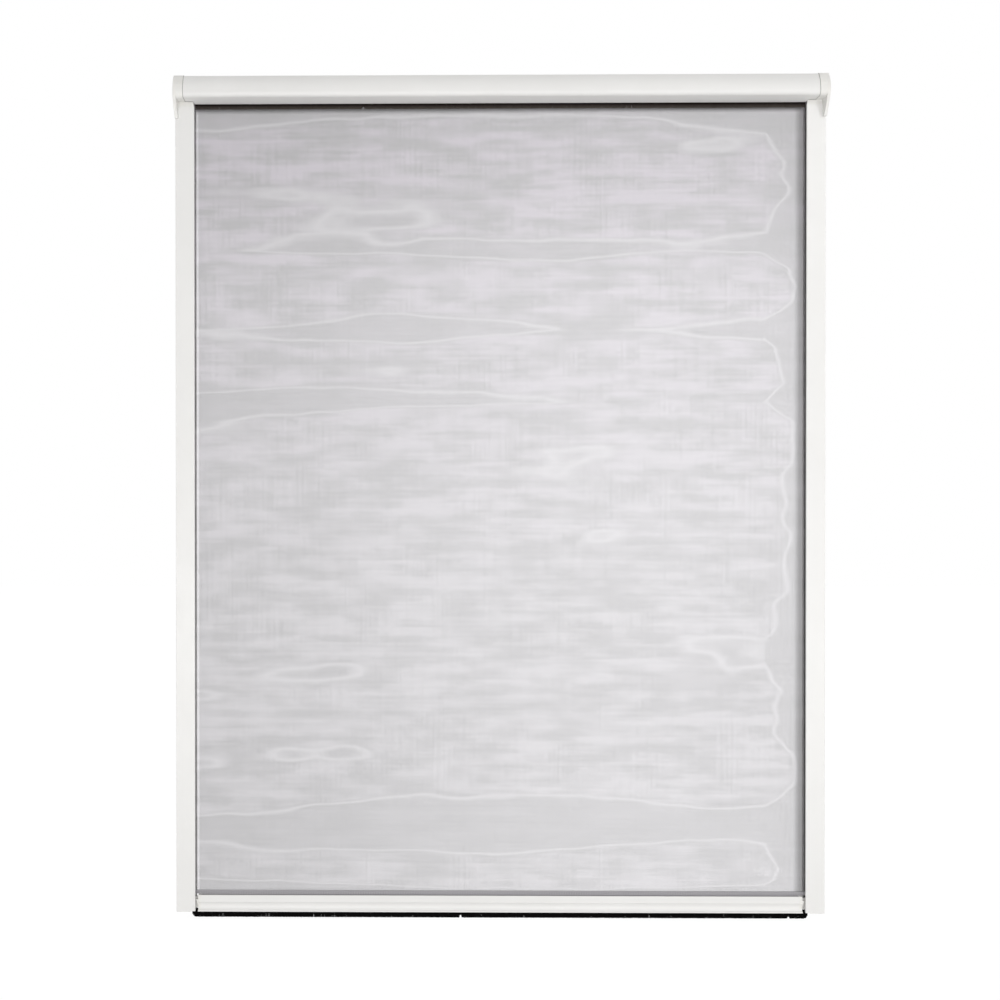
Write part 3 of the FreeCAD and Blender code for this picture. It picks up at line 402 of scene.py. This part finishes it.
low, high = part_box("insect_mesh")
cloth_width, cloth_length = high.x - low.x, high.z - low.z
cloth_y = (low.y + high.y) / 2
thread, pitch, wander, apart, calm_edge = 0.00029, 0.0013, 0.00016, 0.0001, 0.02
thread_parts = 10
warp = repeated("warp", strand(cloth_length, thread, thread_parts), int(cloth_width / pitch), (0.0, pitch, 0.0))
weft = repeated("weft", strand(cloth_width, thread, thread_parts), int(cloth_length / pitch), (0.0, pitch, 0.0))

spots = corners(warp)
x, y, z = low.x + pitch / 2 + spots[:, 1], cloth_y - apart + spots[:, 2], low.z + spots[:, 0]
fade = np.clip(np.minimum(z - low.z, high.z - z) / calm_edge, 0.0, 1.0)
fade *= np.clip((high.x - np.abs(x)) / calm_edge, 0.0, 1.0)
x = x + wander * fade * waves(x, z, 5, 6, (0.15, 0.3), (0.5, 1.2))
warp.vertices.foreach_set("co", np.column_stack((x, y, z)).ravel())

spots = corners(weft)
x, y, z = low.x + spots[:, 0], cloth_y + apart + spots[:, 2], low.z + pitch / 2 + spots[:, 1]
fade = np.clip(np.minimum(z - low.z, high.z - z) / calm_edge, 0.0, 1.0)
z = z + wander * fade * waves(x, z, 11, 8, (0.35, 0.05), (1.2, 0.16))
weft.vertices.foreach_set("co", np.column_stack((x, y, z)).ravel())

shape = bmesh.new()
shape.from_mesh(warp)
shape.from_mesh(weft)
mesh = bpy.data.meshes.new("screen_cloth")
shape.to_mesh(mesh)
shape.free()
cloth = bpy.data.objects.new("screen_cloth", mesh)
bpy.context.scene.collection.objects.link(cloth)

# The coat's tone wanders as watered silk does: lilac streaks in wide patches, a thin light line round each
# patch, and plain grey between the patches and along the right, upper and lower edges. Single threads
# differ a little too.
thread_coat, tree, shader = new_material("thread_coat", (0.2, 0.19, 0.21), 0.5)
cloth_spot = spot_of(tree)
patch = reckon(
    tree, "ADD", grain(tree, 11.0, -0.12, 1.42, stretch=(0.16, 1.0, 1.0), detail=1.5),
    grain(tree, 26.0, -0.1, 0.1, stretch=(0.5, 1.0, 1.0), detail=1.0),
)
for axis, middle, width, depth in (
    ("Z", 1.262, 0.050, 1.6), ("Z", 1.035, 0.029, 1.0), ("Z", 0.912, 0.029, 1.0), ("Z", 0.800, 0.029, 1.0),
    ("Z", 0.142, 0.065, 1.4), ("Z", 0.030, 0.030, 1.4), ("X", 0.480, 0.070, 1.6),
):
    away = reckon(tree, "ABSOLUTE", reckon(tree, "SUBTRACT", cloth_spot[axis], middle))
    dent = reckon(tree, "MAXIMUM", reckon(tree, "SUBTRACT", 1.0, reckon(tree, "DIVIDE", away, width)), 0.0)
    patch = reckon(tree, "SUBTRACT", patch, reckon(tree, "MULTIPLY", dent, depth))
patch_edge = 0.25
inside = reckon(tree, "MAXIMUM", reckon(tree, "DIVIDE", patch, patch_edge), 0.0)
inside = reckon(tree, "MINIMUM", inside, 1.0)
cloud = grain(tree, 56.0, -0.3, 0.9, stretch=(0.27, 1.0, 1.0), detail=2.0)
ripple = grain(tree, 70.0, -0.1, 0.5, stretch=(0.04, 1.0, 1.0), detail=1.0)
yarn = reckon(
    tree, "ADD", grain(tree, 330.0, -0.18, 0.18, stretch=(1.0, 1.0, 0.03), detail=0.0),
    grain(tree, 330.0, -0.12, 0.12, stretch=(0.03, 1.0, 1.0), detail=0.0),
)
streak = reckon(tree, "ADD", reckon(tree, "ADD", cloud, ripple), yarn)
lilac = reckon(tree, "MULTIPLY", reckon(tree, "MULTIPLY_ADD", inside, 0.7, 0.3), streak)
light = blend(tree, ramp(tree, cloth_spot["Z"], 0.5, 1.15), (0.383, 0.37, 0.392), (0.41, 0.364, 0.43))
colour = blend(tree, lilac, (0.158, 0.155, 0.16), light)
rim_width = 0.12
rim = reckon(tree, "SUBTRACT", 1.0, reckon(tree, "DIVIDE", reckon(tree, "ABSOLUTE", patch), rim_width))
rim = reckon(tree, "MAXIMUM", rim, 0.0)
tree.links.new(blend(tree, rim, colour, (0.45, 0.44, 0.46)), shader.inputs["Base Color"])
cloth.data.materials.append(thread_coat)
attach(cloth, "frame")
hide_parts("insect_mesh")
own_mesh(cloth)


# Brush strips: a stiff woven backing in the T slot, and black polypropylene pile whose tufts lean a little
# each way and leave a few notches. The bottom brush thins out at its ends. The one under the head box is
# dark brown, with painted shade that darkens it from its lighter tips up to its roots under the lip.
black_pile, tree, shader = new_material("black_pile", (0.012, 0.012, 0.012), 0.75)
two_tone(tree, shader, grain(tree, 900.0, 0.0, 1.0), (0.002, 0.002, 0.002), (0.007, 0.006, 0.006))
shader.inputs["Specular IOR Level"].default_value = 0.04
# Under the head box the pile is dark brown. Over its lowest 6.5 mm it runs from dark roots to lighter tips:
# painted shade of the lip above, with a random grain.
root_shaded_pile, tree, shader = new_material("root_shaded_pile", (0.05, 0.042, 0.037), 0.8)
root_shade_length = 0.0065
tips_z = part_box("box_brush")[0].z
tips = ramp(tree, spot_of(tree)["Z"], tips_z + root_shade_length, tips_z)
tip_light_and_grain = reckon(tree, "MULTIPLY", tips, grain(tree, 900.0, 0.7, 1.3))
two_tone(tree, shader, tip_light_and_grain, (0.012, 0.0075, 0.007), (0.1, 0.088, 0.078))
shader.inputs["Specular IOR Level"].default_value = 0.05
backing, backing_bevel, rows, row_gap, tuft_radius = 0.0014, 0.0002, 3, 0.00072, 0.00052
row_shift, bare_ends, notch_width, thin_end = 0.3, 0.0012, 0.0016, 0.007

for name, body, along, out, step, tip, notches, end_loss in (
    ("sill_brush", "pull_bar", Vector((1, 0, 0)), Vector((0, 0, -1)), 0.00065, 0.75, (-0.06, 0.447), 0.6),
    ("box_brush", "frame", Vector((1, 0, 0)), Vector((0, 0, -1)), 0.00065, 0.65, (-0.21,), 0.0),
    ("rail_brush_front_left", "frame", Vector((0, 0, 1)), Vector((0, 1, 0)), 0.0009, 0.7, (0.3,), 0.0),
    ("rail_brush_front_right", "frame", Vector((0, 0, 1)), Vector((0, 1, 0)), 0.0009, 0.7, (-0.2,), 0.0),
    ("rail_brush_back_left", "frame", Vector((0, 0, 1)), Vector((0, -1, 0)), 0.0009, 0.7, (0.1,), 0.0),
    ("rail_brush_back_right", "frame", Vector((0, 0, 1)), Vector((0, -1, 0)), 0.0009, 0.7, (-0.4,), 0.0),
):
    low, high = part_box(name)
    side = along.cross(out)
    length, width, reach = (abs((high - low).dot(way)) for way in (along, side, out))
    seat = (low + high) / 2 - out * (reach / 2)
    turn = Matrix((along, side, out)).transposed().to_4x4()
    shape = bmesh.new()
    bmesh.ops.create_cone(
        shape, segments=4, radius1=tuft_radius, radius2=tuft_radius * tip, depth=1.0, cap_ends=True,
        matrix=Matrix.Translation((0.0, 0.0, 0.5)),
    )
    each = len(shape.verts)
    in_row = int((length - bare_ends) / step)
    count = in_row * rows
    pile = repeated(name + "_tufts", shape, count, (1.0, 0.0, 0.0))
    spots = corners(pile).reshape(count, each, 3) - np.arange(count)[:, None, None] * np.array((1.0, 0.0, 0.0))
    dice = np.random.default_rng(len(name) + 7)
    row = np.arange(count) // in_row
    spot = (np.arange(count) % in_row + 0.5 - in_row / 2 + row_shift * (row - 1)) * step
    spot += dice.normal(0.0, 0.0001, count)
    tall = (reach - backing) * (1.0 - np.abs(dice.normal(0.0, 0.03, count)))
    lean = dice.normal(0.0, 0.04, count)
    for notch in notches:
        near = (spot - notch) / notch_width
        tall *= 1.0 - dice.uniform(0.2, 0.4) * np.exp(-near * near)
        lean += 0.2 * near * np.exp(-near * near)
    tall *= 1.0 - end_loss * np.clip((np.abs(spot) - length / 2 + thin_end) / thin_end, 0.0, 1.0) ** 2
    across = (row - 1) * row_gap + dice.normal(0.0, 0.00008, count)
    height = spots[:, :, 2] * tall[:, None]
    local = np.stack((
        spot[:, None] + spots[:, :, 0] + height * lean[:, None],
        across[:, None] + spots[:, :, 1] + height * dice.normal(0.0, 0.025, count)[:, None],
        backing * 0.9 + height,
    ), axis=-1).reshape(-1, 3)
    pile.vertices.foreach_set("co", (local @ np.array(turn.to_3x3()).T + np.array(seat)).ravel())
    shape = bmesh.new()
    slab = turn @ Matrix.Diagonal((length, width, backing, 1.0))
    bmesh.ops.create_cube(shape, size=1.0, matrix=Matrix.Translation(seat + out * (backing / 2)) @ slab)
    bmesh.ops.bevel(
        shape, geom=shape.edges[:], offset=backing_bevel, segments=1, affect="EDGES", profile=0.5, material=-1
    )
    shape.from_mesh(pile)
    mesh = bpy.data.meshes.new(name + "_pile")
    shape.to_mesh(mesh)
    shape.free()
    brush = bpy.data.objects.new(name + "_pile", mesh)
    bpy.context.scene.collection.objects.link(brush)
    brush.data.materials.append(root_shaded_pile if name == "box_brush" else black_pile)
    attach(brush, body)
    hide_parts(name)


# Hem: a grey woven tape welded over the mesh's lower edge, in a diamond weave, with the rod in the bar's
# channel.
hem_tape, tree, shader = new_material("hem_tape", (0.3, 0.29, 0.31), 0.7)
tape_spot = spot_of(tree)
diamond_width = 0.0052
diamond = 1.0
for slope in (1.2, -1.2):
    slanted = reckon(tree, "ADD", tape_spot["X"], reckon(tree, "MULTIPLY", tape_spot["Z"], slope))
    ridge = reckon(tree, "SINE", reckon(tree, "MULTIPLY", slanted, math.tau / diamond_width))
    diamond = reckon(tree, "MULTIPLY", ridge, diamond)
diamond = reckon(tree, "ADD", reckon(tree, "MULTIPLY", diamond, grain(tree, 40.0, 0.1, 0.7)), 0.5)
colour = blend(tree, diamond, (0.235, 0.228, 0.25), (0.46, 0.45, 0.47))
tree.links.new(colour, shader.inputs["Base Color"])
relief(tree, shader, reckon(tree, "ADD", diamond, grain(tree, 1800.0, 0.0, 0.6)), 0.0002, 0.8)
nodes["keder_strip"].data.materials.clear()
nodes["keder_strip"].data.materials.append(hem_tape)


# Winding: the first turns of the same mesh on the tube, lying close.
wound, tree, shader = new_material("wound_mesh", (0.13, 0.13, 0.14), 0.6)
two_tone(tree, shader, grain(tree, 1200.0, 0.0, 1.0), (0.09, 0.09, 0.1), (0.2, 0.2, 0.21))
relief(tree, shader, grain(tree, 1400.0, 0.0, 1.0), 0.0003, 1.0)
nodes["mesh_winding"].data.materials.clear()
nodes["mesh_winding"].data.materials.append(wound)
